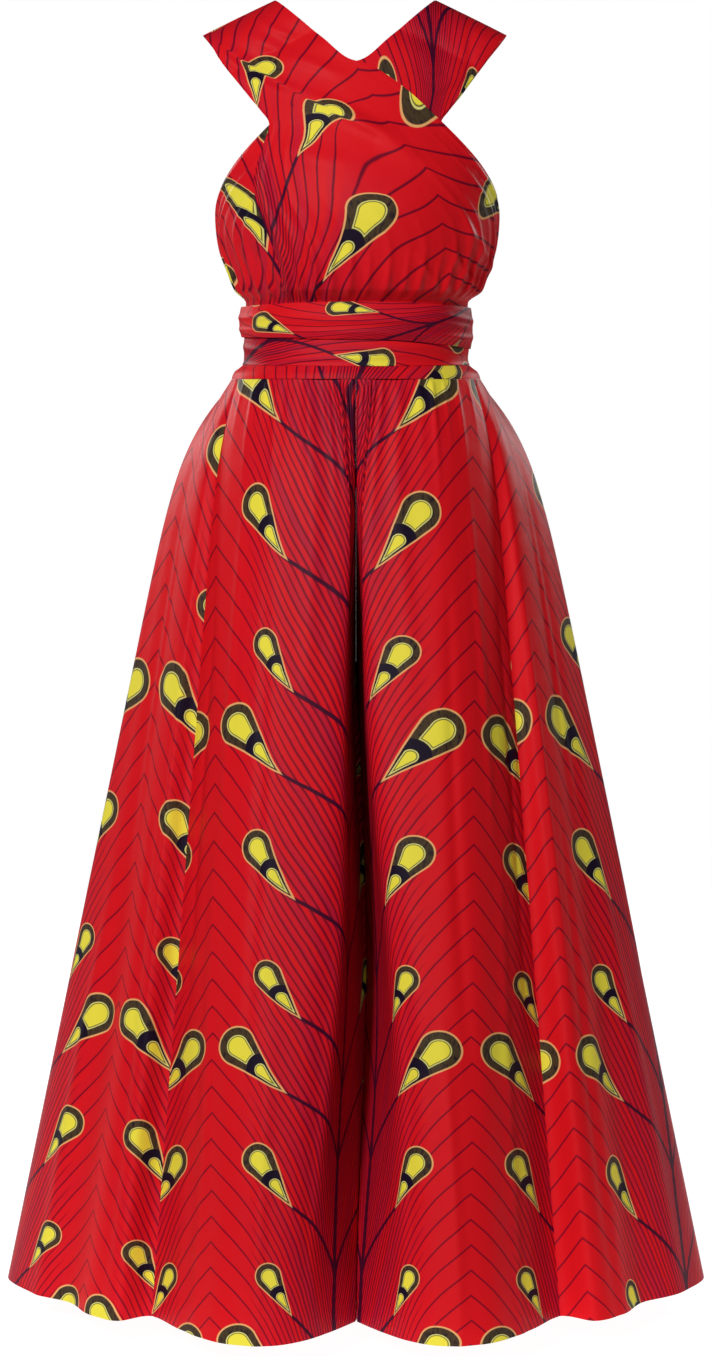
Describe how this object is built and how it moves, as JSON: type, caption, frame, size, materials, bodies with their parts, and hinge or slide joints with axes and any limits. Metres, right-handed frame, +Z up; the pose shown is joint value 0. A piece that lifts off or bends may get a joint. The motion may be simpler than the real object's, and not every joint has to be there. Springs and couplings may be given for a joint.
{
  "type": "wide leg jumpsuit",
  "caption": "Sleeveless wide leg jumpsuit of printed cotton as worn: crossed shoulder straps, a wound sash at the waist and very full flared legs, hollow and open at neck, armholes and hems.",
  "frame": {"origin": "midway between the shoulders, on the shoulder line, where the wearer's shoulders hold the garment up", "axes": "+X to the wearer's left, +Y to the back, +Z up"},
  "size_m": [0.7822, 0.5797, 1.4211],
  "materials": {
    "leg_print": "crisp cotton with a slight satin sheen, printed red with dark barbed stems and yellow and brown drops",
    "bodice_print": "the same printed cotton, its stems along the straps",
    "sash_print": "the same printed cotton, wound round the waist with its stems lying level"
  },
  "bodies": {
    "root": {"leg_front_right": "leg_print", "leg_back_right": "leg_print", "leg_front_left": "leg_print", "leg_back_left": "leg_print", "waistband": "sash_print", "sash_lower_turn": "sash_print", "sash_upper_turn": "sash_print", "strap_front_right": "bodice_print", "strap_front_left": "bodice_print", "strap_back_left": "bodice_print", "strap_back_right": "bodice_print"}
  },
  "joints": []
}
